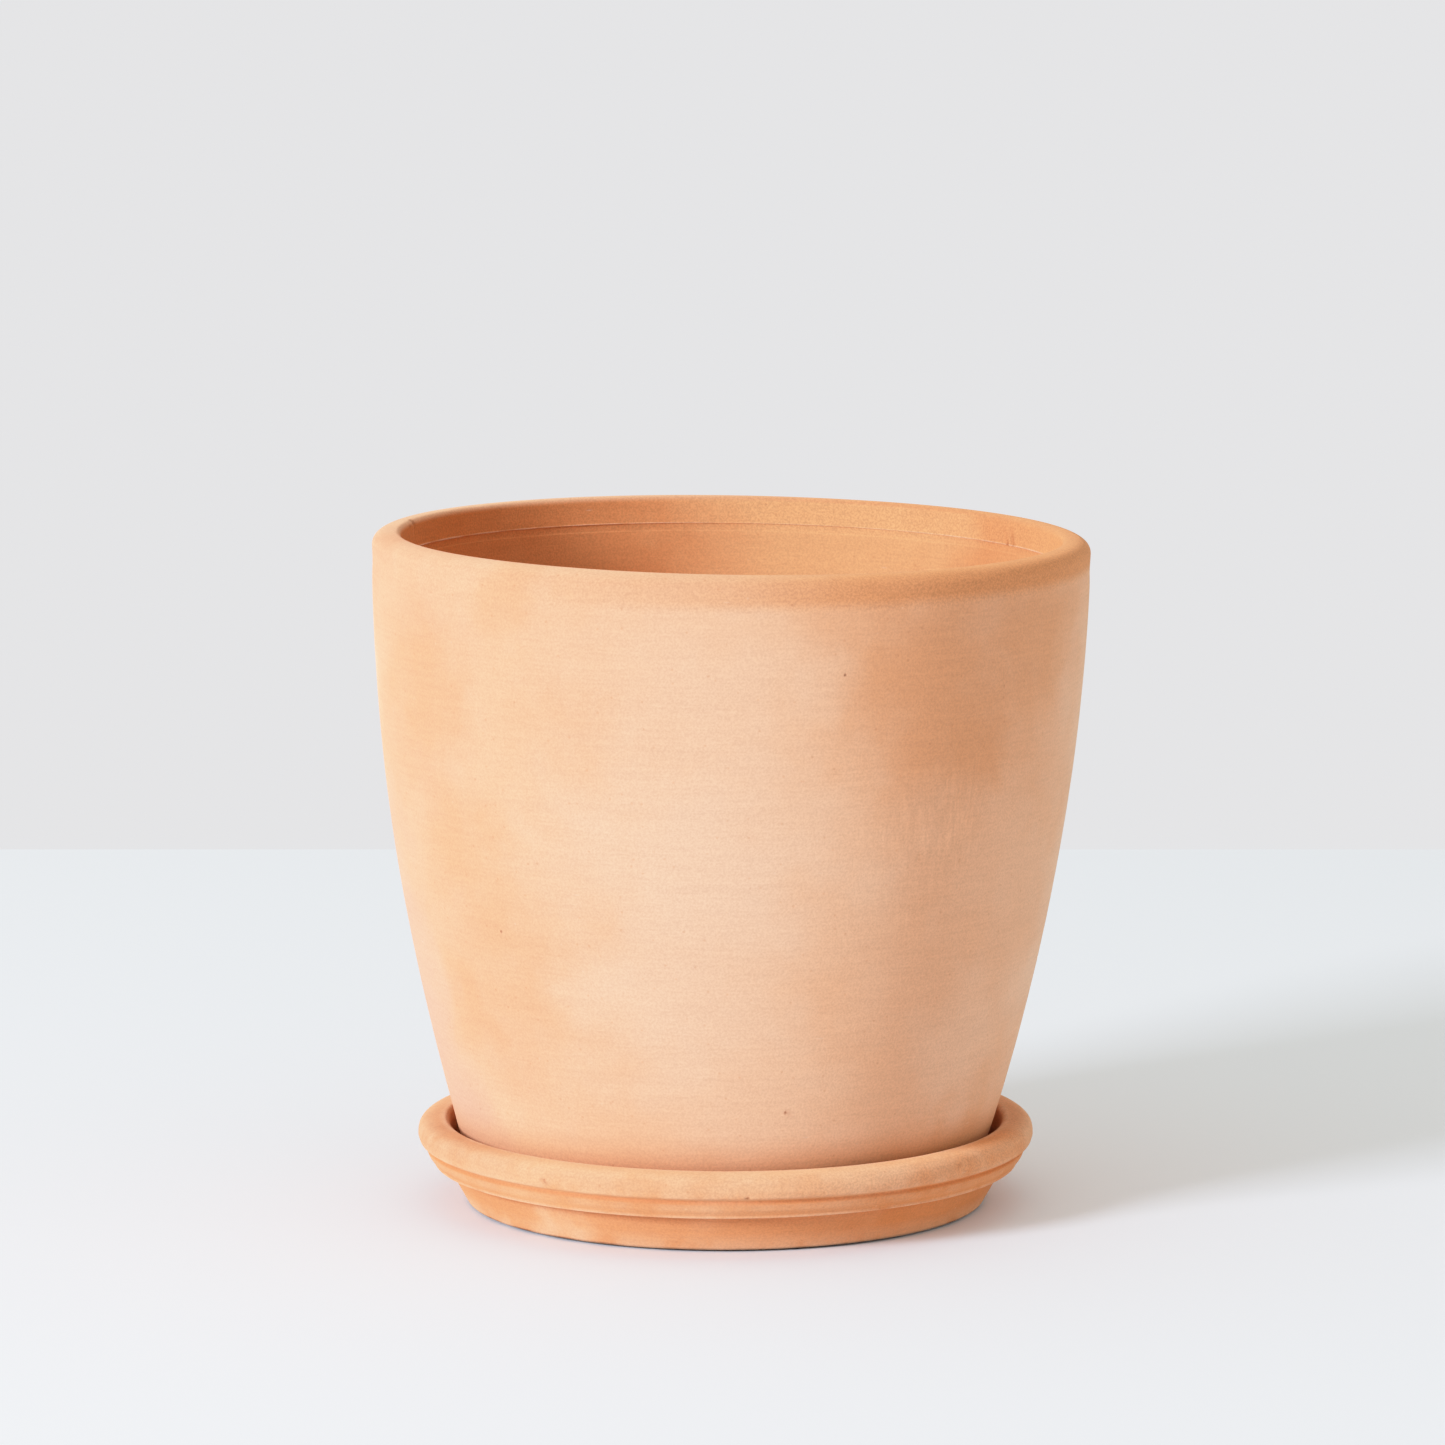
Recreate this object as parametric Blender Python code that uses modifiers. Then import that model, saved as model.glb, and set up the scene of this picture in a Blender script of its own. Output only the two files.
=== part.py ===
"""Terracotta plant pot standing in its own drip saucer.

Two pieces of fired clay, each turned about the vertical axis through the
origin. The origin is the centre of the saucer's foot. The pot only rests on
the saucer's floor, so its own origin lies on the line it is lifted along.
Metres, +Z up.
"""

import math

import bpy

# ---- the pot ---------------------------------------------------------------
POT_RADIUS = 0.1050        # outside, at the widest, just under the rim
POT_HEIGHT = 0.1922        # from the foot to the top of the rim
FOOT_RADIUS = 0.0735       # where the wall's curve would meet the foot's plane
WALL_CURVE = 1.92          # power of the curve: higher turns upright sooner
POT_WALL = 0.0080          # thickness of the wall, measured level
POT_FLOOR = 0.0095         # thickness of the floor, foot ring included
RIM_ROUND_WIDTH = 0.0062   # outer round of the rim, measured level
RIM_ROUND_DROP = 0.0041    # outer round of the rim, measured down
RIM_ROUND_POWER = 2.3      # 2 is an ellipse, higher is squarer
RIM_BAND_DEPTH = 0.0105    # the smoothed band inside the rim, measured down
RIM_BAND_STEP = 0.0004     # how far that band stands proud of the inner wall
FOOT_ROUND = 0.0050        # rounding between the wall and the foot
FOOT_RING_WIDTH = 0.0110   # the flat ring that the pot stands on
RECESS_DEPTH = 0.0030      # the hollow under the floor, inside the foot ring
FLOOR_FILLET = 0.0120      # rounding between the inner wall and the floor
DRAIN_RADIUS = 0.0080      # drain hole in the middle of the floor

# ---- the saucer ------------------------------------------------------------
SAUCER_HEIGHT = 0.0251     # from its foot to the top of its lip
SAUCER_FLOOR = 0.0055      # thickness of the floor, foot ring included
LIP_DEPTH = 0.0080         # from the top of the lip down to the groove
BAND_DEPTH = 0.0054        # from the groove down to the step
LOWER_WALL = 0.0047        # thickness just under the step
STEP_RISE = 0.0005         # the step's underside climbs this much inwards
BAND_WALL = 0.0088         # thickness just above the step
GROOVE_WALL = 0.0095       # thickness at the groove
LIP_WALL = 0.0087          # thickness through the lip
LIP_ROUND_WIDTH = 0.0072   # outer round of the lip, measured level
LIP_ROUND_DROP = 0.0049    # outer round of the lip, measured down
LIP_ROUND_POWER = 3.0      # 2 is an ellipse, higher is squarer
SAUCER_FILLET = 0.0050     # rounding between the inner wall and the floor
BASE_FLARE = 0.0009        # the foot is this much wider than the floor inside
BASE_ROUND = 0.0010        # rounding of the foot's edge
BASE_RING_WIDTH = 0.0120   # the flat ring that the saucer stands on
BASE_RECESS = 0.0012       # the hollow under the floor, inside that ring

# ---- how the two fit -------------------------------------------------------
SEAT_GAP = 0.0003          # between the pot's foot and the saucer's floor
FOOT_CLEARANCE = 0.0015    # round the pot's foot, to the saucer's inner corner
DRIP_GAP = 0.0027          # between the pot's wall and the saucer's lip

# ---- fineness --------------------------------------------------------------
TURNS = 60                 # faces round each piece
WALL_POINTS = 14           # points up the pot's wall
ROUND_POINTS = 5           # points along each rounding
MERGE = 0.00001

POT_SEAT = SAUCER_FLOOR + SEAT_GAP   # height of the pot's foot


def pot_radius(height):
    """Outside radius of the pot, height being measured from its own foot."""
    shoulder = POT_HEIGHT - RIM_ROUND_DROP
    below = max(shoulder - height, 0.0) / shoulder
    return POT_RADIUS - (POT_RADIUS - FOOT_RADIUS) * below ** WALL_CURVE


def saucer_inside(height):
    """Inside radius of the saucer, straight from its floor up to its lip."""
    low = FOOT_RADIUS + FOOT_CLEARANCE
    high = pot_radius(SAUCER_HEIGHT - POT_SEAT) + DRIP_GAP
    climb = (height - SAUCER_FLOOR) / (SAUCER_HEIGHT - SAUCER_FLOOR)
    return low + (high - low) * climb


def evenly(first, last, points):
    """Evenly spaced values from first to last, both included."""
    return [first + (last - first) * i / (points - 1) for i in range(points)]


def corner(start, turn, end, points=ROUND_POINTS):
    """A rounded corner from start to end, which keeps to the two straight sides that meet at turn."""
    curve = []
    for t in evenly(0.0, 1.0, points):
        radius = (1 - t) ** 2 * start[0] + 2 * t * (1 - t) * turn[0] + t ** 2 * end[0]
        height = (1 - t) ** 2 * start[1] + 2 * t * (1 - t) * turn[1] + t ** 2 * end[1]
        curve.append((radius, height))
    return curve


def outer_round(widest, top, width, drop, power):
    """The outer round of a rim, from its crown out and down to its widest radius."""
    curve = []
    for angle in evenly(math.pi / 2, 0.0, 2 * ROUND_POINTS - 1):
        level = max(math.cos(angle), 0.0) ** (2 / power)
        rise = math.sin(angle) ** (2 / power)
        curve.append((widest - width + width * level, top - drop + drop * rise))
    return curve


def pot_profile():
    """Closed outline of the pot's wall and floor, from the crown of the rim down the outside."""
    shoulder = POT_HEIGHT - RIM_ROUND_DROP
    crown = POT_RADIUS - RIM_ROUND_WIDTH
    band_end = POT_HEIGHT - RIM_BAND_DEPTH
    fillet_top = POT_FLOOR + FLOOR_FILLET

    outline = outer_round(POT_RADIUS, POT_HEIGHT, RIM_ROUND_WIDTH, RIM_ROUND_DROP, RIM_ROUND_POWER)
    outline += [(pot_radius(h), h) for h in evenly(shoulder, FOOT_ROUND, WALL_POINTS)[1:-1]]
    outline += corner((pot_radius(FOOT_ROUND), FOOT_ROUND), (FOOT_RADIUS, 0.0), (FOOT_RADIUS - FOOT_ROUND, 0.0))

    ring_inside = FOOT_RADIUS - FOOT_ROUND - FOOT_RING_WIDTH
    outline += [(ring_inside, 0.0), (ring_inside - RECESS_DEPTH, RECESS_DEPTH)]
    outline += [(DRAIN_RADIUS, RECESS_DEPTH), (DRAIN_RADIUS, POT_FLOOR)]

    outline += corner(
        (pot_radius(POT_FLOOR) - POT_WALL - FLOOR_FILLET, POT_FLOOR),
        (pot_radius(POT_FLOOR) - POT_WALL, POT_FLOOR),
        (pot_radius(fillet_top) - POT_WALL, fillet_top),
    )
    outline += [(pot_radius(h) - POT_WALL, h) for h in evenly(fillet_top, band_end, WALL_POINTS - 2)[1:]]

    band = pot_radius(band_end) - POT_WALL - RIM_BAND_STEP
    rim_round = crown - (POT_RADIUS - POT_WALL - RIM_BAND_STEP)
    outline.append((band, band_end + RIM_BAND_STEP))
    outline += corner(
        (crown - rim_round, POT_HEIGHT - rim_round),
        (crown - rim_round, POT_HEIGHT),
        (crown, POT_HEIGHT),
    )[:-1]
    return outline


def saucer_profile():
    """Outline of the saucer, from the middle of its floor up inside, over the lip and down outside."""
    groove = SAUCER_HEIGHT - LIP_DEPTH
    step = groove - BAND_DEPTH
    lip_outside = saucer_inside(SAUCER_HEIGHT) + LIP_WALL
    crown = lip_outside - LIP_ROUND_WIDTH
    inner_round = LIP_WALL - LIP_ROUND_WIDTH
    fillet_top = SAUCER_FLOOR + SAUCER_FILLET
    base = saucer_inside(SAUCER_FLOOR) + BASE_FLARE

    outline = [(0.0, SAUCER_FLOOR)]
    outline += corner(
        (saucer_inside(SAUCER_FLOOR) - SAUCER_FILLET, SAUCER_FLOOR),
        (saucer_inside(SAUCER_FLOOR), SAUCER_FLOOR),
        (saucer_inside(fillet_top), fillet_top),
    )
    outline += corner(
        (saucer_inside(SAUCER_HEIGHT - inner_round), SAUCER_HEIGHT - inner_round),
        (saucer_inside(SAUCER_HEIGHT), SAUCER_HEIGHT),
        (crown, SAUCER_HEIGHT),
    )[:-1]
    outline += outer_round(lip_outside, SAUCER_HEIGHT, LIP_ROUND_WIDTH, LIP_ROUND_DROP, LIP_ROUND_POWER)
    outline += [
        (saucer_inside(groove) + GROOVE_WALL, groove),
        (saucer_inside(step) + BAND_WALL, step),
        (saucer_inside(step) + LOWER_WALL, step + STEP_RISE),
    ]
    outline += corner(
        (base + BASE_ROUND / 2, BASE_ROUND),
        (base, 0.0),
        (base - BASE_ROUND, 0.0),
    )
    ring_inside = base - BASE_ROUND - BASE_RING_WIDTH
    outline += [(ring_inside, 0.0), (ring_inside - BASE_RECESS, BASE_RECESS), (0.0, BASE_RECESS)]
    return outline


def fired_clay(name, colour, roughness):
    """Matt unglazed clay; the colour is in linear light."""
    material = bpy.data.materials.new(name)
    material.use_nodes = True
    shader = material.node_tree.nodes["Principled BSDF"]
    shader.inputs["Base Color"].default_value = (*colour, 1.0)
    shader.inputs["Roughness"].default_value = roughness
    shader.inputs["Metallic"].default_value = 0.0
    material.diffuse_color = (*colour, 1.0)
    return material


def turned(name, outline, closed, height, material, collection):
    """A piece turned on the wheel: its outline, swept once round the vertical axis."""
    mesh = bpy.data.meshes.new(name)
    points = [(radius, 0.0, up) for radius, up in outline]
    edges = [(i, i + 1) for i in range(len(points) - 1)]
    if closed:
        edges.append((len(points) - 1, 0))
    mesh.from_pydata(points, edges, [])
    mesh.materials.append(material)

    piece = bpy.data.objects.new(name, mesh)
    piece.location = (0.0, 0.0, height)
    collection.objects.link(piece)

    wheel = piece.modifiers.new("wheel", 'SCREW')
    wheel.axis = 'Z'
    wheel.angle = math.tau
    wheel.steps = TURNS
    wheel.render_steps = TURNS
    wheel.use_merge_vertices = True
    wheel.merge_threshold = MERGE
    wheel.use_smooth_shade = True
    return piece


def main():
    for thing in list(bpy.data.objects):
        bpy.data.objects.remove(thing, do_unlink=True)

    parts = bpy.data.collections.new("terracotta_pot")
    bpy.context.scene.collection.children.link(parts)

    pot_clay = fired_clay("pot_clay", (0.76, 0.43, 0.25), 0.88)
    saucer_clay = fired_clay("saucer_clay", (0.72, 0.37, 0.19), 0.86)

    turned("saucer", saucer_profile(), False, 0.0, saucer_clay, parts)
    turned("pot", pot_profile(), True, POT_SEAT, pot_clay, parts)


main()
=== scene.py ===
"""The looks of a terracotta plant pot standing in its drip saucer.

Both pieces are turned again here as fine surfaces round the solids of the frame: the lean and
the slight unevenness of a hand-finished pot, the fine rings inside its rim, the worn edges of
the saucer, and the mottled, chalky, brushed look of fired clay.
"""

import math

import bmesh
import bpy
from mathutils import Matrix, Vector, noise


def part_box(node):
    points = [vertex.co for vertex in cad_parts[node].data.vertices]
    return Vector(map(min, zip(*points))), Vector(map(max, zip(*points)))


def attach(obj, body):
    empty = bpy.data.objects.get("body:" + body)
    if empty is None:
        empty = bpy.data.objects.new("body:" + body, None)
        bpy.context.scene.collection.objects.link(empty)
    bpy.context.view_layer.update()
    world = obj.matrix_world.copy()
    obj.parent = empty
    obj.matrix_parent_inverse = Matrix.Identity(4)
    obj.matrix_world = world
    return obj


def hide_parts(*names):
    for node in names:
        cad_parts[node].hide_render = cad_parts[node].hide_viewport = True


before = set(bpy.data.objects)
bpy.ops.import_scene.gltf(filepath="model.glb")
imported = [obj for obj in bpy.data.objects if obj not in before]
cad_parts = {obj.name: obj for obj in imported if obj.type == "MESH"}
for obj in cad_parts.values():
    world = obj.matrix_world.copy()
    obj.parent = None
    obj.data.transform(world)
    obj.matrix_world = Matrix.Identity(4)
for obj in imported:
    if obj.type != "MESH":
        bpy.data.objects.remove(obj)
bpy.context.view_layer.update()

MM = 0.001

# ---- sizes read from the frame ----------------------------------------------
POT_LOW, POT_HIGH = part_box("pot")
SAUCER_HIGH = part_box("saucer")[1]
POT_RADIUS = POT_HIGH.x            # widest, just under the rim
POT_SEAT = POT_LOW.z               # height of the pot's foot
POT_HEIGHT = POT_HIGH.z - POT_LOW.z
LIP_RADIUS = SAUCER_HIGH.x
LIP_TOP = SAUCER_HIGH.z

# ---- sizes of the pot, as in the design --------------------------------------
FOOT_RADIUS = 73.5 * MM            # where the wall's curve would meet the foot's plane
WALL_CURVE = 1.92                  # power of the wall's curve
WALL = 8.0 * MM
FLOOR = 9.5 * MM
RIM_ROUND = (6.2 * MM, 4.1 * MM)   # outer round of the rim: level, and down
RIM_POWER = 2.3
CREASE = (8.6 * MM, 3.0 * MM, 0.18 * MM)   # hollow under the rim: how far down, its reach, its depth
THREAD = 8.3 * MM                  # inside, from the top of the rim down to a fine raised ring
BAND_EDGE = 10.6 * MM              # and down to the edge of the smoothed band
FOOT_ROUND = 5.0 * MM
FOOT_RING = 11.0 * MM
RECESS = 3.0 * MM
FLOOR_FILLET = 12.0 * MM
DRAIN_RADIUS = 8.0 * MM

# ---- sizes of the saucer, as in the design -----------------------------------
SAUCER_FLOOR = 5.5 * MM
FLOOR_RADIUS = 75.0 * MM           # where the inner wall would meet the floor
LIP_WALL = 8.7 * MM
LIP_ROUND = (7.2 * MM, 4.9 * MM)   # outer round of the lip: level, and down
LIP_POWER = 3.0
LIP_DEPTH = 8.0 * MM               # top of the lip down to the groove
BAND_DEPTH = 5.4 * MM              # groove down to the step
GROOVE_WALL = 9.5 * MM
BAND_WALL = 8.8 * MM
LOWER_WALL = 4.7 * MM
STEP_RISE = 0.5 * MM
SAUCER_FILLET = 5.0 * MM
BASE_FLARE = 0.9 * MM
BASE_ROUND = 1.0 * MM
BASE_LIFT = 0.5 * MM               # its outer edge stands this far off the table
BASE_RING = 12.0 * MM
BASE_RECESS = 1.2 * MM

# ---- how far the hand-made pot strays from the ideal ---------------------------
LEAN = math.radians(0.76)          # the wall leans to +X over a level foot
LEAN_FROM, LEAN_TO = 3.0 * MM, 22.0 * MM   # heights above the foot where the lean sets in, and is full
FOOT_SHIFT = -0.8 * MM             # the pot stands a little to one side in its saucer

# ---- small damage: (angle round the piece in degrees from the front, radius, height, size, depth)
RIM_TOP = POT_HIGH.z
POT_DENTS = (
    (-104, 97.4 * MM, RIM_TOP - 1.2 * MM, 1.7 * MM, 0.9 * MM),     # chip in the rim's inner edge
    (-101, 97.2 * MM, RIM_TOP - 1.6 * MM, 1.0 * MM, 0.5 * MM),
    (119, 96.6 * MM, RIM_TOP - 7.6 * MM, 0.9 * MM, 0.5 * MM),      # three marks under the rim
    (121, 96.6 * MM, RIM_TOP - 8.1 * MM, 0.8 * MM, 0.5 * MM),
    (124, 96.6 * MM, RIM_TOP - 7.2 * MM, 0.8 * MM, 0.4 * MM),
    (-36, 79.0 * MM, 31.5 * MM, 0.9 * MM, 0.6 * MM),               # grit holes low on the wall
    (-47, 92.0 * MM, 78.0 * MM, 0.8 * MM, 0.4 * MM),
    (12, 84.0 * MM, 42.0 * MM, 0.7 * MM, 0.4 * MM),
)
SAUCER_DENTS = (
    (-35, 90.6 * MM, 20.5 * MM, 0.9 * MM, 0.7 * MM),
    (4, 90.0 * MM, 18.6 * MM, 0.8 * MM, 0.4 * MM),
    (48, 90.3 * MM, 22.0 * MM, 0.8 * MM, 0.5 * MM),
)

# ---- the camera's response, in linear light: what comes in, and what is shown ----
TONE_WHITE = 1.7
TONE_SHOULDER = ((0.30, 0.30), (0.60, 0.585), (0.80, 0.745), (1.0, 0.865), (1.25, 0.95))

TURNS = 320                        # faces round each piece
SPACING = 1.8 * MM                 # between rings on the plain walls


# ---- outlines -----------------------------------------------------------------
def pot_radius(height):
    """Outside radius of the pot at a height above its own foot."""
    shoulder = POT_HEIGHT - RIM_ROUND[1]
    below = max(shoulder - height, 0.0) / shoulder
    return POT_RADIUS - (POT_RADIUS - FOOT_RADIUS) * below ** WALL_CURVE


def rim_crease(height):
    """Depth of the soft hollow that the sponge left under the rim."""
    down, reach, depth = CREASE
    return depth * math.exp(-((POT_HEIGHT - down - height) / reach) ** 2)


def saucer_inside(height):
    """Inside radius of the saucer, straight from its floor up to its lip."""
    climb = (height - SAUCER_FLOOR) / (LIP_TOP - SAUCER_FLOOR)
    return FLOOR_RADIUS + (LIP_RADIUS - LIP_WALL - FLOOR_RADIUS) * climb


def evenly(first, last, points):
    """Evenly spaced values from first to last, both included."""
    return [first + (last - first) * i / (points - 1) for i in range(points)]


def smooth(low, high, value):
    """0 before low, 1 past high, and an even rise between them."""
    t = min(max((value - low) / (high - low), 0.0), 1.0)
    return t * t * (3 - 2 * t)


def corner(start, turn, end, points=7):
    """A rounded corner from start to end, which keeps to the two straight sides that meet at turn."""
    curve = []
    for t in evenly(0.0, 1.0, points):
        parts = ((1 - t) ** 2, 2 * t * (1 - t), t ** 2)
        curve.append(tuple(sum(w * p[i] for w, p in zip(parts, (start, turn, end))) for i in (0, 1)))
    return curve


def softened(points, reach, steps=5):
    """A run of corners, each rounded over that reach; the two ends stay."""
    line = [points[0]]
    for before, here, after in zip(points, points[1:], points[2:]):
        into = Vector(before) - Vector(here)
        out = Vector(after) - Vector(here)
        start = Vector(here) + into * min(reach / into.length, 0.45)
        end = Vector(here) + out * min(reach / out.length, 0.45)
        line += corner(start, here, end, steps)
    return line + [points[-1]]


def straight(start, end):
    """Points between two ends, both left out, at about the usual spacing."""
    count = max(int((Vector(end) - Vector(start)).length / SPACING), 1) + 1
    between = evenly(0.0, 1.0, count)[1:-1]
    return [tuple(Vector(start).lerp(Vector(end), t)) for t in between]


def outer_round(widest, top, size, power, points=17):
    """The outer round of a rim, from its crown out and down to its widest radius."""
    curve = []
    for angle in evenly(math.pi / 2, 0.0, points):
        level = max(math.cos(angle), 0.0) ** (2 / power)
        rise = math.sin(angle) ** (2 / power)
        curve.append((widest - size[0] + size[0] * level, top - size[1] + size[1] * rise))
    return curve


def pot_outline():
    """Closed outline of the pot from the crown of its rim, down outside and up inside."""
    shoulder = POT_HEIGHT - RIM_ROUND[1]
    crown = POT_RADIUS - RIM_ROUND[0]
    rows = int((shoulder - FOOT_ROUND) / SPACING)
    line = outer_round(POT_RADIUS, POT_HEIGHT, RIM_ROUND, RIM_POWER)
    line += [(pot_radius(h) - rim_crease(h), h) for h in evenly(shoulder, FOOT_ROUND, rows)[1:-1]]
    line += corner((pot_radius(FOOT_ROUND), FOOT_ROUND), (FOOT_RADIUS, 0.0), (FOOT_RADIUS - FOOT_ROUND, 0.0))

    ring = FOOT_RADIUS - FOOT_ROUND - FOOT_RING
    underside = [
        (FOOT_RADIUS - FOOT_ROUND, 0.0),
        (ring, 0.0),
        (ring - RECESS, RECESS),
        (DRAIN_RADIUS, RECESS),
        (DRAIN_RADIUS, FLOOR),
        (pot_radius(FLOOR) - WALL - FLOOR_FILLET, FLOOR),
    ]
    line += softened(underside, 1.2 * MM)[1:-1]

    fillet_top = FLOOR + FLOOR_FILLET
    line += corner(
        (pot_radius(FLOOR) - WALL - FLOOR_FILLET, FLOOR),
        (pot_radius(FLOOR) - WALL, FLOOR),
        (pot_radius(fillet_top) - WALL, fillet_top),
        11,
    )

    # inside the rim: a raised thread, a shallow groove below it, and the proud edge of the wall
    inside = POT_RADIUS - WALL
    thread, edge = POT_HEIGHT - THREAD, POT_HEIGHT - BAND_EDGE
    rows = int((edge - fillet_top) / SPACING)
    line += [(pot_radius(h) - WALL, h) for h in evenly(fillet_top, edge - 3.0 * MM, rows)[1:]]
    rim_round = crown - (inside - 0.4 * MM)
    rings = [
        (inside, edge - 3.0 * MM),
        (inside - 0.26 * MM, edge - 0.25 * MM),
        (inside - 0.06 * MM, edge + 0.1 * MM),
        (inside - 0.14 * MM, thread - 0.35 * MM),
        (inside - 0.58 * MM, thread),
        (inside - 0.34 * MM, thread + 0.3 * MM),
        (crown - rim_round, POT_HEIGHT - rim_round),
    ]
    line += softened(rings, 0.14 * MM, 3)[1:]
    neck = (crown - rim_round, POT_HEIGHT - rim_round)
    line += corner(neck, (crown - rim_round, POT_HEIGHT), (crown, POT_HEIGHT), 11)[1:-1]
    return line


def saucer_outline():
    """Outline of the saucer, from the middle of its floor up inside, over the lip and down outside."""
    groove = LIP_TOP - LIP_DEPTH
    step = groove - BAND_DEPTH
    crown = LIP_RADIUS - LIP_ROUND[0]
    inner_round = LIP_WALL - LIP_ROUND[0]
    fillet_top = SAUCER_FLOOR + SAUCER_FILLET
    base = FLOOR_RADIUS + BASE_FLARE

    line = [(0.0, SAUCER_FLOOR)]
    line += straight((0.0, SAUCER_FLOOR), (FLOOR_RADIUS - SAUCER_FILLET, SAUCER_FLOOR))
    line += corner(
        (FLOOR_RADIUS - SAUCER_FILLET, SAUCER_FLOOR),
        (FLOOR_RADIUS, SAUCER_FLOOR),
        (saucer_inside(fillet_top), fillet_top),
    )
    neck = (saucer_inside(LIP_TOP - inner_round), LIP_TOP - inner_round)
    line += straight(line[-1], neck)
    line += corner(neck, (saucer_inside(LIP_TOP), LIP_TOP), (crown, LIP_TOP), 9)[:-1]
    line += outer_round(LIP_RADIUS, LIP_TOP, LIP_ROUND, LIP_POWER, 21)

    groove_at = saucer_inside(groove) + GROOVE_WALL
    band_foot = saucer_inside(step) + BAND_WALL
    under_step = (saucer_inside(step) + LOWER_WALL, step + STEP_RISE)
    corner_fill = 1.0 * MM
    wall_foot = (base + 0.6 * BASE_ROUND, BASE_LIFT + 0.5 * MM)
    edges = [
        line[-1],
        (groove_at + 1.55 * MM, groove + 1.3 * MM),     # the lip turns in under itself
        (groove_at - 0.75 * MM, groove + 0.2 * MM),     # bottom of the groove
        (groove_at - 0.15 * MM, groove - 0.7 * MM),     # the band's shoulder
        ((groove_at + band_foot) / 2 + 0.4 * MM, (groove + step) / 2),
        (band_foot + 0.15 * MM, step + 0.9 * MM),
        (band_foot + 0.2 * MM, step + 0.35 * MM),       # a thin bead along its lower edge
        (band_foot - 0.3 * MM, step),
        (under_step[0] + corner_fill, under_step[1] - 0.1 * MM),
        (under_step[0] + 0.1 * MM, under_step[1] - corner_fill),
        ((under_step[0] + wall_foot[0]) / 2 + 0.4 * MM, (under_step[1] + wall_foot[1]) / 2),
        wall_foot,
    ]
    line += softened(edges, 0.5 * MM, 5)[1:-1]
    line += corner(wall_foot, (base + 0.4 * BASE_ROUND, BASE_LIFT), (base - BASE_ROUND, BASE_LIFT * 0.9))

    ring = base - BASE_ROUND - BASE_RING
    underside = [(base - BASE_ROUND, BASE_LIFT * 0.9), (base - 4 * BASE_ROUND, BASE_LIFT * 0.7)]
    underside += [(base - 5 * BASE_ROUND, 0.0), (ring, 0.0)]
    underside += [(ring - BASE_RECESS, BASE_RECESS), (0.0, BASE_RECESS)]
    line += softened(underside, 0.8 * MM, 3)[1:]
    return line


# ---- turning ------------------------------------------------------------------
def edge_wear_and_highlight(line):
    """How sharply the outline turns outwards at each point, from 0 to 1: where the clay is rubbed pale,
    and where edges that catch the light get a painted highlight.
    """
    reach = 1.2 * MM
    sharpest = 1.1                 # turn in radians that counts as fully worn
    turns = [0.0]
    for before, here, after in zip(line, line[1:], line[2:]):
        into = Vector(here) - Vector(before)
        out = Vector(after) - Vector(here)
        turns.append(into.angle_signed(out, 0.0))
    turns.append(0.0)
    worn = []
    for here in line:
        gaps = [(Vector(here) - Vector(there)).length / reach for there in line]
        total = sum(turn * math.exp(-gap ** 2) for turn, gap in zip(turns, gaps))
        worn.append(min(max(total / sharpest, 0.0), 1.0))
    return worn


def turned(line, height, closed, worn_values, inside_values):
    """A piece turned from its outline, with its foot at that height.

    Each point keeps how worn it is and how far inside the piece it lies, both from 0 to 1.
    """
    bm = bmesh.new()
    wear_and_highlight = bm.verts.layers.float.new("wear_and_highlight")
    inside = bm.verts.layers.float.new("inside")
    ring = []
    for (radius, up), worn, within in zip(line, worn_values, inside_values):
        vert = bm.verts.new((radius, 0.0, up + height))
        vert[wear_and_highlight] = worn
        vert[inside] = within
        ring.append(vert)
    pairs = list(zip(ring, ring[1:])) + ([(ring[-1], ring[0])] if closed else [])
    edges = [bm.edges.new(pair) for pair in pairs]
    bmesh.ops.spin(
        bm, geom=ring + edges, cent=(0, 0, 0), axis=(0, 0, 1), angle=math.tau, steps=TURNS, use_merge=True
    )
    bmesh.ops.remove_doubles(bm, verts=bm.verts, dist=0.01 * MM)
    bmesh.ops.recalc_face_normals(bm, faces=bm.faces)
    return bm


def dented(bm, dents):
    """Small chips and pits: each is (angle round the piece from the front, radius, height, size, depth).

    Edges near each are subdivided first, and the many-sided faces that this leaves round it are filled
    from a middle point, which takes its values from its neighbours.
    """
    chipped = bm.verts.layers.float.new("chipped")
    for angle, radius, height, size, depth in dents:
        turn = math.radians(angle)
        centre = Vector((radius * math.sin(turn), -radius * math.cos(turn), height))
        near = [e for e in bm.edges if all((v.co - centre).length < 1.6 * size for v in e.verts)]
        bmesh.ops.subdivide_edges(bm, edges=near, cuts=3, use_grid_fill=True)
        many_sided = [f for f in bm.faces if len(f.verts) > 4]
        for vert in bmesh.ops.poke(bm, faces=many_sided)["verts"]:
            around = [e.other_vert(vert) for e in vert.link_edges]
            for layer in bm.verts.layers.float.values():
                vert[layer] = sum(other[layer] for other in around) / len(around)
        bm.normal_update()
        hit = [v for v in bm.verts if (v.co - centre).length < size]
        for vert in hit:
            share = 1 - ((vert.co - centre).length / size) ** 2
            ragged = 0.7 + 0.6 * noise.noise(vert.co / (0.8 * MM))
            vert.co -= vert.normal * depth * share ** 1.5 * ragged
            vert[chipped] = min(share * ragged * 1.5, 1.0)


def piece(name, bm, material):
    """The finished piece as an object at the origin."""
    mesh = bpy.data.meshes.new(name)
    bm.to_mesh(mesh)
    bm.free()
    mesh.materials.append(material)
    mesh.shade_smooth()
    ob = bpy.data.objects.new(name, mesh)
    bpy.context.scene.collection.objects.link(ob)
    return ob


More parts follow.
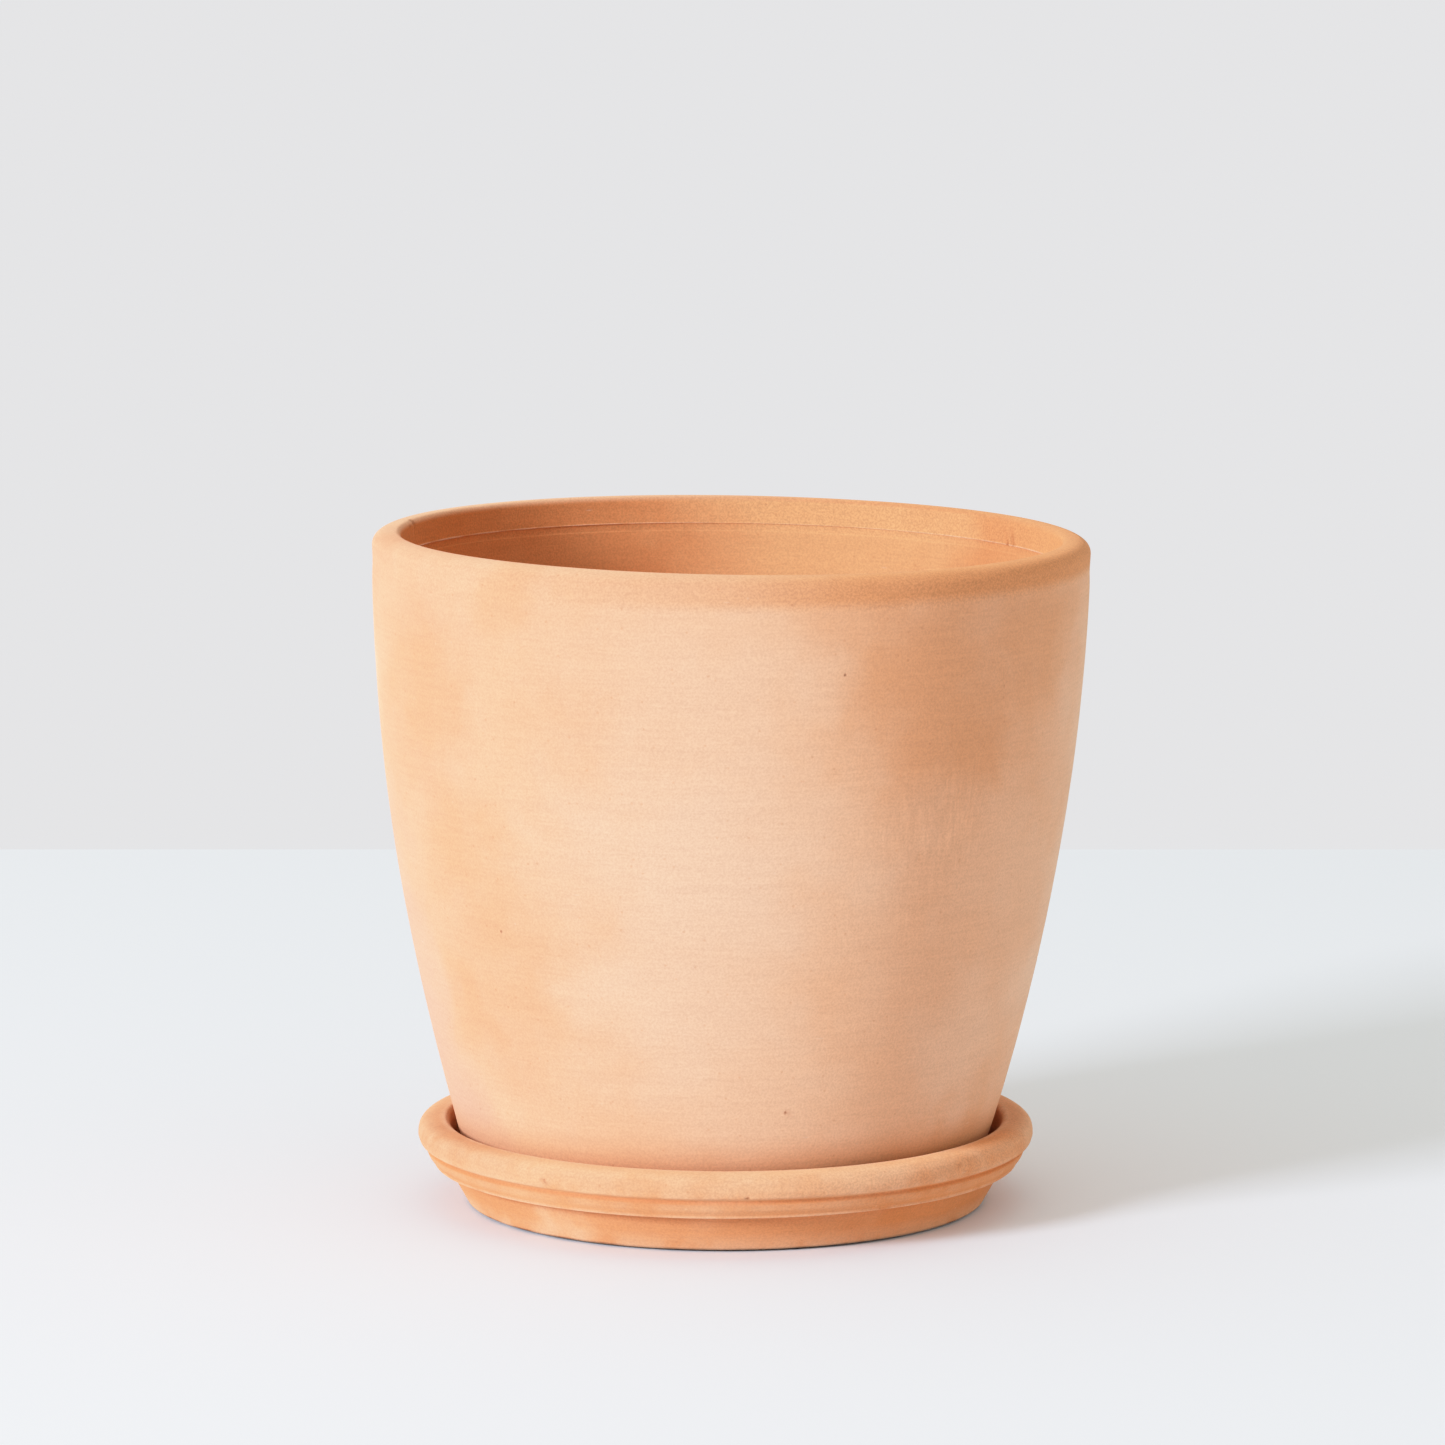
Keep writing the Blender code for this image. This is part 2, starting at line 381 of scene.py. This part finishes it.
def uneven(bm, broad, rings, seed):
    """Moves the surface in and out, as on a turned and sponged wall: broad waves, and low rings round it."""
    still = 10 * MM                # the middle of a floor keeps its place
    wave_height, ring_height = 55 * MM, 5.5 * MM
    bm.normal_update()
    moves = []
    for vert in bm.verts:
        level = Vector((vert.co.x, vert.co.y, 0.0))
        if level.length < still:
            moves.append(Vector())
            continue
        round_it = level.normalized()
        wave = noise.noise(Vector((round_it.x * 1.3, round_it.y * 1.3, vert.co.z / wave_height + seed)))
        low = noise.noise(Vector((round_it.x * 0.5, round_it.y * 0.5, vert.co.z / ring_height + seed)))
        moves.append(vert.normal * (broad * wave + rings * low))
    for vert, move in zip(bm.verts, moves):
        vert.co += move


def leaning(bm):
    """The pot's wall leans over its level foot, and the whole stands a little to one side."""
    foot = Vector((0.0, 0.0, POT_SEAT))
    for vert in bm.verts:
        share = smooth(LEAN_FROM, LEAN_TO, vert.co.z - POT_SEAT)
        turn = Matrix.Rotation(LEAN * share, 4, 'Y')
        vert.co = foot + turn @ (vert.co - foot) + Vector((FOOT_SHIFT, 0.0, 0.0))


# ---- materials ------------------------------------------------------------------
def linear(colour):
    """An sRGB hex colour in linear light."""
    parts = [int(colour[i:i + 2], 16) / 255 for i in (1, 3, 5)]
    return tuple(c / 12.92 if c <= 0.04045 else ((c + 0.055) / 1.055) ** 2.4 for c in parts) + (1.0,)


def add(tree, kind, links=None, output=0, **settings):
    """Adds a node with its settings and gives one output; links maps an input to its socket or value."""
    node = tree.nodes.new(kind)
    for name, value in settings.items():
        setattr(node, name, value)
    for name, source in (links or {}).items():
        if isinstance(source, bpy.types.NodeSocket):
            tree.links.new(source, node.inputs[name])
        else:
            node.inputs[name].default_value = source
    return node.outputs[output]


def spots(tree, where, stretch, spacing, size, share):
    """Small spots of that size, on a share of the cells of that spacing, in millimetres, then stretched."""
    shift = (3.0 * spacing, 7.0 * size, spacing + size)
    moved = add(tree, "ShaderNodeMapping", {"Vector": where, "Scale": stretch, "Location": shift})
    cells = add(tree, "ShaderNodeTexVoronoi", {"Vector": moved, "Scale": 1.0 / spacing})
    edges = {"Value": cells, "From Min": 0.5 * size / spacing, "From Max": 0.15 * size / spacing}
    near = add(tree, "ShaderNodeMapRange", edges, interpolation_type='SMOOTHSTEP')
    pick = add(tree, "ShaderNodeSeparateColor", {"Color": cells.node.outputs["Color"]})
    chosen = add(tree, "ShaderNodeMath", {0: pick, 1: share}, operation='LESS_THAN')
    return add(tree, "ShaderNodeMath", {0: near, 1: chosen}, operation='MULTIPLY')


def patches(tree, where, places):
    """Soft patches, in millimetres; each is (degrees from the front, radius, height, size, strength)."""
    total = 0.0
    for angle, radius, height, size, strength in places:
        turn = math.radians(angle)
        centre = (radius * math.sin(turn), -radius * math.cos(turn), height)
        away = add(tree, "ShaderNodeVectorMath", {0: where, 1: centre}, "Value", operation='DISTANCE')
        fade = {"Value": away, "From Min": size, "From Max": size * 0.15, "To Max": strength}
        mask = add(tree, "ShaderNodeMapRange", fade, interpolation_type='SMOOTHSTEP')
        total = add(tree, "ShaderNodeMath", {0: total, 1: mask}, operation='MAXIMUM')
    return total


def level_bands(tree, where, bands):
    """Level bands; each is (low, high, soft edge, strength at the left, strength at the right)."""
    reach = 75.0                   # in millimetres; past this far to either side the strengths hold
    width = add(tree, "ShaderNodeSeparateXYZ", {"Vector": where}, "X")
    height = width.node.outputs["Z"]
    total = 0.0
    for low, high, soft, left, right in bands:
        mask = 1.0
        for value, start, end, least, most in (
            (height, low - soft, low, 0.0, 1.0),
            (height, high + soft, high, 0.0, 1.0),
            (width, -reach, reach, left, right),
        ):
            fade = {"Value": value, "From Min": start, "From Max": end, "To Min": least, "To Max": most}
            side = add(tree, "ShaderNodeMapRange", fade, interpolation_type='SMOOTHSTEP')
            mask = add(tree, "ShaderNodeMath", {0: mask, 1: side}, operation='MULTIPLY')
        total = add(tree, "ShaderNodeMath", {0: total, 1: mask}, operation='MAXIMUM')
    return total


def earthenware(name, tones, worn, skins, dust_and_painted_light_places, brushed_places, grainy_bands):
    """Unglazed earthenware: turned, sponged and fired, which leaves it matt, chalky and faintly blotched.

    tones: the clay's own colour, the pale salts that dry on it, laid also as a painted sheen where
    the clay is lit, its colour where those salts are missing, and inside, the ruddier clay and a paler
    dusted tone; inside the pot the ruddy clay is painted shade on the inner wall's shaded left and
    the paler tone is painted light on its lit back and right. worn: how far edges are rubbed pale,
    on the saucer's outer edges partly a painted highlight. skins: colours laid over the clay, some
    of them painted shade, each as (colour, places, level bands). Where the wall was brushed it shows
    upright streaks, and where it was wiped wet its grit stands out.
    """
    body, bloom_and_sheen, warm, within, dust_and_painted_light = (linear(tone) for tone in tones)
    material = bpy.data.materials.new(name)
    material.use_nodes = True
    tree = material.node_tree
    shader = tree.nodes["Principled BSDF"]

    place = add(tree, "ShaderNodeTexCoord", output="Object")
    where = add(tree, "ShaderNodeVectorMath", {0: place, "Scale": 1.0 / MM}, operation='SCALE')
    inside = add(tree, "ShaderNodeAttribute", output="Fac", attribute_name="inside")
    wear_and_highlight = add(tree, "ShaderNodeAttribute", output="Fac", attribute_name="wear_and_highlight")
    chipped = add(tree, "ShaderNodeAttribute", output="Fac", attribute_name="chipped")

    # patches keep ragged outlines, as wet clay dries unevenly; both sizes are in millimetres
    rag_size, rag_reach = 24.0, 50.0
    rag = add(tree, "ShaderNodeTexNoise", {"Vector": where, "Scale": 1 / rag_size, "Detail": 6.0}, "Color")
    rag = add(tree, "ShaderNodeVectorMath", {0: rag, 1: (0.5, 0.5, 0.5)}, operation='SUBTRACT')
    rag = add(tree, "ShaderNodeVectorMath", {0: rag, "Scale": rag_reach}, operation='SCALE')
    strayed = add(tree, "ShaderNodeVectorMath", {0: where, 1: rag}, operation='ADD')

    # grain of several kinds: (stretch, size of the lumps in millimetres, octaves, roughness);
    # turning lines run round the piece, drawn at 0.8 mm, where the finest real ones are half that,
    # and the grit is drawn at 0.6 mm, where real sand in the clay is 0.2 to 0.5 mm
    grain = {}
    for kind, stretch, size, detail, rough in (
        ("clouds", (1.0, 1.0, 1.0), 38.0, 4.0, 0.55),
        ("drifts", (1.0, 1.0, 0.8), 12.0, 4.0, 0.6),
        ("fine lines", (0.05, 0.05, 1.0), 0.8, 2.0, 0.6),
        ("broad lines", (0.012, 0.012, 1.0), 5.0, 3.0, 0.5),
        ("streaks", (1.0, 1.0, 0.07), 1.6, 3.0, 0.6),
        ("grit", (1.0, 1.0, 1.0), 0.6, 2.0, 0.6),
    ):
        shift = (size, 7.0, 3.0)
        moved = add(tree, "ShaderNodeMapping", {"Vector": where, "Scale": stretch, "Location": shift})
        lumps = {"Vector": moved, "Scale": 1.0 / size, "Detail": detail, "Roughness": rough}
        grain[kind] = add(tree, "ShaderNodeTexNoise", lumps)
    pits = spots(tree, where, (1.0, 1.0, 1.0), spacing=16.0, size=1.2, share=0.16)
    specks = spots(tree, where, (1.0, 1.0, 1.0), spacing=3.0, size=1.1, share=0.4)
    flecks = spots(tree, where, (1.0, 1.0, 1.0), spacing=6.0, size=0.9, share=0.3)
    scratches = spots(tree, where, (0.22, 0.22, 1.0), spacing=5.0, size=0.7, share=0.18)

    # how much of each lies where, each a share from 0 to 1
    share = {}
    for kind, value, low, high, most in (
        ("warm", grain["clouds"], 0.50, 0.78, 0.2),
        ("chalk", grain["drifts"], 0.40, 0.75, 0.09),
        ("uneven", grain["drifts"], 0.25, 0.6, 1.0),
    ):
        fade = {"Value": value, "From Min": low, "From Max": high, "To Max": most}
        share[kind] = add(tree, "ShaderNodeMapRange", fade, interpolation_type='SMOOTHSTEP')
    rubbed_and_highlight = add(tree, "ShaderNodeMath", {0: wear_and_highlight, 1: worn}, operation='MULTIPLY')
    rubbed_and_highlight = add(tree, "ShaderNodeMath", {0: rubbed_and_highlight, 1: share["uneven"]}, operation='MULTIPLY')

    # colours, laid over one another from the clay outwards; a colour mix takes its share at
    # input 0 and its two colours at 6 and 7, and gives the mixed one at output 2
    # inside the pot the paler tone is painted light where the inner wall is lit, at its back and right, and
    # the ruddy clay left between is painted shade on its shaded left; in the saucer the paler tone grows
    # towards the middle
    dust_and_painted_light_share = patches(tree, strayed, dust_and_painted_light_places)
    lining = add(tree, "ShaderNodeMix", {0: dust_and_painted_light_share, 6: within, 7: dust_and_painted_light}, 2, data_type='RGBA')
    layers = [(share["warm"], warm), (share["chalk"], bloom_and_sheen)]
    for tone, places, bands in skins:
        spread = patches(tree, strayed, places)
        level = level_bands(tree, where, bands)
        cover = add(tree, "ShaderNodeMath", {0: spread, 1: level}, operation='MAXIMUM')
        layers.append((cover, linear(tone)))
    # edges rubbed pale; on the saucer's outer edges this is partly a painted highlight
    layers += [(inside, lining), (rubbed_and_highlight, bloom_and_sheen)]
    # specks, flecks and scratches are the clay's own; the darker colours laid in pits and chips are painted
    # shade in these hollows
    for spotted, strength, tone in (
        (specks, 0.22, linear("#b06a3c")),
        (pits, 0.6, linear("#8a5433")),
        (flecks, 0.3, bloom_and_sheen),
        (scratches, 0.3, bloom_and_sheen),
        (chipped, 0.6, linear("#9a5832")),
    ):
        cover = add(tree, "ShaderNodeMath", {0: spotted, 1: strength}, operation='MULTIPLY')
        layers.append((cover, tone))
    colour = body
    for cover, tone in layers:
        colour = add(tree, "ShaderNodeMix", {0: cover, 6: colour, 7: tone}, 2, data_type='RGBA')

    # lines, streaks and grit make it a little lighter and darker
    brushed = patches(tree, strayed, brushed_places)
    grainy = add(tree, "ShaderNodeMath", {0: inside, 1: 0.2, 2: 1.0}, operation='MULTIPLY_ADD')
    grainy = add(tree, "ShaderNodeMath", {0: grainy, 1: level_bands(tree, where, grainy_bands)}, operation='ADD')
    shade = 1.0
    for pattern, low, high, darkest, lightest, where_seen in (
        (grain["fine lines"], 0.25, 0.75, -0.03, 0.03, 1.0),
        (grain["broad lines"], 0.3, 0.7, -0.007, 0.007, 1.0),
        (grain["streaks"], 0.4, 0.7, -0.03, 0.09, brushed),
        (grain["grit"], 0.3, 0.7, -0.075, 0.075, grainy),
    ):
        swing = {"Value": pattern, "From Min": low, "From Max": high, "To Min": darkest, "To Max": lightest}
        swung = add(tree, "ShaderNodeMapRange", swing, interpolation_type='SMOOTHSTEP')
        shade = add(tree, "ShaderNodeMath", {0: swung, 1: where_seen, 2: shade}, operation='MULTIPLY_ADD')
    colour = add(tree, "ShaderNodeVectorMath", {0: colour, "Scale": shade}, operation='SCALE')

    # relief: lines, grit, pits and scratches, in half millimetres
    height = 0.0
    for pattern, amount in (
        (grain["fine lines"], 0.10),
        (grain["broad lines"], 0.14),
        (grain["grit"], 0.16),
        (pits, -0.5),
        (scratches, -0.1),
    ):
        height = add(tree, "ShaderNodeMath", {0: pattern, 1: amount, 2: height}, operation='MULTIPLY_ADD')
    relief = add(tree, "ShaderNodeBump", {"Height": height, "Strength": 1.0, "Distance": 0.5 * MM})
    gloss = {"Value": grain["grit"], "From Min": 0.3, "From Max": 0.7, "To Min": 0.84, "To Max": 0.96}

    tree.links.new(colour, shader.inputs["Base Color"])
    tree.links.new(relief, shader.inputs["Normal"])
    tree.links.new(add(tree, "ShaderNodeMapRange", gloss), shader.inputs["Roughness"])
    shader.inputs["Diffuse Roughness"].default_value = 0.9
    shader.inputs["IOR"].default_value = 1.45
    shader.inputs["Specular IOR Level"].default_value = 0.28
    return material


def pot_clay():
    """Pale peach clay with a pinkish bloom down the middle of the front and warm blotches at its sides.

    The bloom is partly a painted sheen; painted shade darkens the lit left side, the rim and the foot
    by the saucer, and painted light and painted shade fall on the inner wall.
    """
    rim = POT_HIGH.z / MM
    body, bloom_and_sheen, warm, peach_painted_shade, rosy_painted_shade = "#e6b08b", "#ebc5aa", "#d8915d", "#d99874", "#d9a488"
    skins = [
        # painted shade: the peach and rosy skins darken the left side, where the key light falls fullest
        (peach_painted_shade, [
            (-64, 104, 178, 52, 0.55), (-66, 103, 140, 56, 0.55), (-60, 97, 100, 44, 0.35),
            (-54, 90, 66, 40, 0.4), (-80, 102, 196, 40, 0.7),
        ], []),
        (rosy_painted_shade, [
            (-84, 98, 106, 32, 0.7), (-82, 94, 82, 40, 0.9), (-80, 88, 56, 42, 1.0), (-74, 83, 30, 40, 1.0),
        ], []),
        (warm, [
            (22, 104, 182, 36, 0.4), (52, 80, 24, 30, 0.5), (34, 103, 168, 48, 0.55),
            (42, 104, 150, 28, 0.55), (56, 104, 178, 42, 0.45), (-35, 104, 189, 22, 0.25),
            (-59, 104, 163, 30, 0.28), (-50, 98, 113, 30, 0.3), (-44, 96, 98, 30, 0.26),
            (-38, 95, 92, 26, 0.2), (-53, 91, 71, 28, 0.28), (-38, 92, 77, 24, 0.24),
            (130, 100, 90, 50, 0.5), (-130, 100, 60, 40, 0.5),
        ], []),
        # partly painted light: pale bloom laid as a painted sheen down the lit middle of the front and as
        # painted light along the right edge; the other patches are bloom
        (bloom_and_sheen, [
            (-3, 103, 160, 60, 0.4), (-3, 98, 115, 66, 0.6), (-5, 93, 75, 58, 0.52), (2, 86, 45, 45, 0.3),
            (88, 103, 145, 54, 0.5), (54, 88, 56, 36, 0.35), (62, 96, 110, 40, 0.2),
            (84, 98, 104, 40, 0.6), (80, 92, 72, 40, 0.6),
            (-120, 100, 100, 70, 0.5), (135, 90, 70, 60, 0.4), (-92, 104, 160, 26, 0.2),
        ], []),
        # partly painted shade: a warmer, darker band over the rim and into the hollow under it, and painted
        # shade with the saucer's warm reflected light round the foot, both stronger on the shaded right
        (warm, [], [(rim - 6.5, rim + 5.0, 4.5, 0.0, 0.85), (0.0, 20.0, 16.0, 0.5, 0.85)]),
    ]
    # painted light and painted shade on the inner wall: the paler tone where it is lit, at the back and
    # right, and the ruddy clay where it lies in shade, on the left
    dust_and_painted_light_places = [(160, 97, 185, 92, 1.0), (115, 97, 185, 110, 0.45), (-160, 97, 185, 70, 0.35)]
    brushed_places = [(36, 99, 127, 30, 1.0), (28, 96, 100, 20, 0.5)]
    grainy_bands = [(rim - 9.0, rim + 5.0, 3.0, 0.2, 0.7)]
    tones = (body, bloom_and_sheen, warm, "#d57e45", "#efb883")
    return earthenware(
        "unglazed_earthenware_pot", tones, worn=0.5, skins=skins, dust_and_painted_light_places=dust_and_painted_light_places,
        brushed_places=brushed_places, grainy_bands=grainy_bands,
    )


def saucer_clay():
    """The same clay, less bloomed: a little more orange, with pale edges where it has been handled, partly
    a painted highlight, and painted shade below its lip and along its foot.
    """
    body, bloom_and_sheen, warm, dull, painted_contact_shade = "#e4a97e", "#eec3a0", "#db8a50", "#c9865c", "#6e432b"
    skins = [
        (dull, [(-72, 89, 22, 56, 0.8), (75, 90, 20, 50, 0.5)], []),
        # partly painted shade: warmer and darker from the lip's lower side down, under the lip's overhang,
        # stronger on the shaded right
        (warm, [], [(0.0, 17.0, 4.5, 0.55, 0.75)]),
        (warm, [(40, 80, 8, 34, 0.8), (60, 86, 16, 36, 0.8), (180, 85, 14, 60, 0.4)], []),
        (bloom_and_sheen, [(-35, 80, 5, 16, 0.45), (5, 88, 24, 24, 0.2), (30, 88, 24, 24, 0.2)], []),
        # painted shade: a dark brown band along the foot, where the saucer meets the table
        (painted_contact_shade, [], [(-1.0, 0.8, 0.7, 0.9, 0.9)]),
    ]
    dust_and_painted_light_places = [(0, 0, 0, 110, 0.5)]
    tones = (body, bloom_and_sheen, "#cf7d48", "#ca7844", "#dd9a69")
    grainy_bands = [(20.0, 26.0, 3.0, 0.2, 0.6)]
    return earthenware(
        "unglazed_earthenware_saucer", tones, worn=0.6, skins=skins, dust_and_painted_light_places=dust_and_painted_light_places,
        brushed_places=[], grainy_bands=grainy_bands,
    )


# ---- pieces ----------------------------------------------------------------------
def make_pot():
    """The pot: its wall, rim and floor turned in one, then chipped, and leaned over its foot."""
    line = pot_outline()
    heights = [up for radius, up in line]
    past_hole = DRAIN_RADIUS + 0.1 * MM
    first = next(i for i, (radius, up) in enumerate(line) if radius < past_hole and up > RECESS)
    within = [smooth(0.2 * MM, 1.8 * MM, POT_HEIGHT - up) * (i >= first) for i, up in enumerate(heights)]
    thread = POT_HEIGHT - THREAD
    worn = [within[i] * smooth(0.3 * MM, 0.1 * MM, abs(up - thread)) for i, up in enumerate(heights)]
    bm = turned(line, POT_SEAT, True, worn, within)
    uneven(bm, broad=0.22 * MM, rings=0.02 * MM, seed=3.7)
    dented(bm, POT_DENTS)
    leaning(bm)
    pot = piece("terracotta_pot", bm, pot_clay())
    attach(pot, "pot")
    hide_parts("pot")
    return pot


def make_saucer():
    """The saucer, turned in one, with no point of it below the table."""
    line = saucer_outline()
    crown = max(range(len(line)), key=lambda i: line[i][1])
    within = [smooth(0.0, 2.0 * MM, LIP_TOP - up) * (i < crown) for i, (radius, up) in enumerate(line)]
    # the saucer's outer edges are paled for wear and partly as a painted highlight
    bm = turned(line, 0.0, False, edge_wear_and_highlight(line), within)
    uneven(bm, broad=0.12 * MM, rings=0.03 * MM, seed=9.1)
    for vert in bm.verts:
        vert.co.z = max(vert.co.z, 0.0)
    dented(bm, SAUCER_DENTS)
    saucer = piece("drip_saucer", bm, saucer_clay())
    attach(saucer, "saucer")
    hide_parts("saucer")
    return saucer


# ---- stage -------------------------------------------------------------------------
def matt_surface(name, colour):
    """Matt paint on a flat board, rolled on: one even tone with hardly any gloss."""
    material = bpy.data.materials.new(name)
    material.use_nodes = True
    shader = material.node_tree.nodes["Principled BSDF"]
    shader.inputs["Base Color"].default_value = linear(colour)
    shader.inputs["Roughness"].default_value = 0.8
    shader.inputs["Specular IOR Level"].default_value = 0.2
    return material


def make_floor():
    """A pale table top that ends behind the pot."""
    back_edge, front_edge, half_width = 0.64, -6.0, 4.0
    bm = bmesh.new()
    bmesh.ops.create_grid(bm, x_segments=1, y_segments=1, size=1.0)
    bmesh.ops.scale(bm, vec=(half_width, (back_edge - front_edge) / 2, 1.0), verts=bm.verts)
    bmesh.ops.translate(bm, vec=(0.0, (back_edge + front_edge) / 2, 0.0), verts=bm.verts)
    floor = piece("table_top", bm, matt_surface("painted_table_top", "#f1f6fe"))


def softbox(name, azimuth, elevation, distance, size, power, colour):
    """A square area light aimed at the pot; angles are in degrees, and azimuth runs from the front to +X."""
    centre = Vector((0.0, 0.0, POT_HIGH.z / 2))
    turn, rise = math.radians(azimuth), math.radians(elevation)
    away = Vector((math.sin(turn) * math.cos(rise), -math.cos(turn) * math.cos(rise), math.sin(rise)))
    lamp = bpy.data.lights.new(name, 'AREA')
    lamp.shape = 'SQUARE'
    lamp.size = size
    lamp.energy = power
    lamp.color = linear(colour)[:3]
    ob = bpy.data.objects.new(name, lamp)
    ob.location = centre + away * distance
    ob.rotation_euler = away.to_track_quat('Z', 'Y').to_euler()
    bpy.context.scene.collection.objects.link(ob)


def make_world(seen, light):
    """Even light from a pale room; what the camera sees of it is a plain grey backdrop."""
    world = bpy.data.worlds.new("studio")
    bpy.context.scene.world = world
    world.use_nodes = True
    tree = world.node_tree
    camera_ray = add(tree, "ShaderNodeLightPath", output="Is Camera Ray")
    tones = {0: camera_ray, 6: linear(light), 7: linear(seen)}
    colour = add(tree, "ShaderNodeMix", tones, 2, data_type='RGBA')
    tree.links.new(colour, tree.nodes["Background"].inputs["Color"])


def camera_tone():
    """A camera's response: true up to the middle tones, then a shoulder that keeps lit clay below white."""
    view = bpy.context.scene.view_settings
    view.view_transform = 'Standard'
    view.use_curve_mapping = True
    mapping = view.curve_mapping
    mapping.white_level = (TONE_WHITE, TONE_WHITE, TONE_WHITE)
    curve = mapping.curves[3]
    for given, shown in TONE_SHOULDER:
        curve.points.new(given / TONE_WHITE, shown)
    mapping.update()


def make_camera():
    """A long lens, a little above the rim and looking slightly down."""
    side, nearer, height = -0.9 * MM, -2.1, 0.4465
    look_down = 8.25               # in degrees
    data = bpy.data.cameras.new("camera")
    data.sensor_width = 36.0
    data.lens = 180.1
    data.clip_end = 50.0
    camera = bpy.data.objects.new("camera", data)
    camera.location = (side, nearer, height)
    camera.rotation_euler = (math.radians(90 - look_down), 0.0, 0.0)
    bpy.context.scene.collection.objects.link(camera)
    bpy.context.scene.camera = camera


make_camera()
make_pot()
make_saucer()
make_floor()
# soft light from the front left, and a weak one low at the right that lifts the pot's dark side
softbox("key_light", azimuth=-50, elevation=20, distance=4.0, size=1.05, power=168.0, colour="#edf2ff")
softbox("fill_light", azimuth=78, elevation=4, distance=4.0, size=2.0, power=10.0, colour="#fff6ee")
make_world(seen="#eeeef0", light="#e2e1d9")
camera_tone()
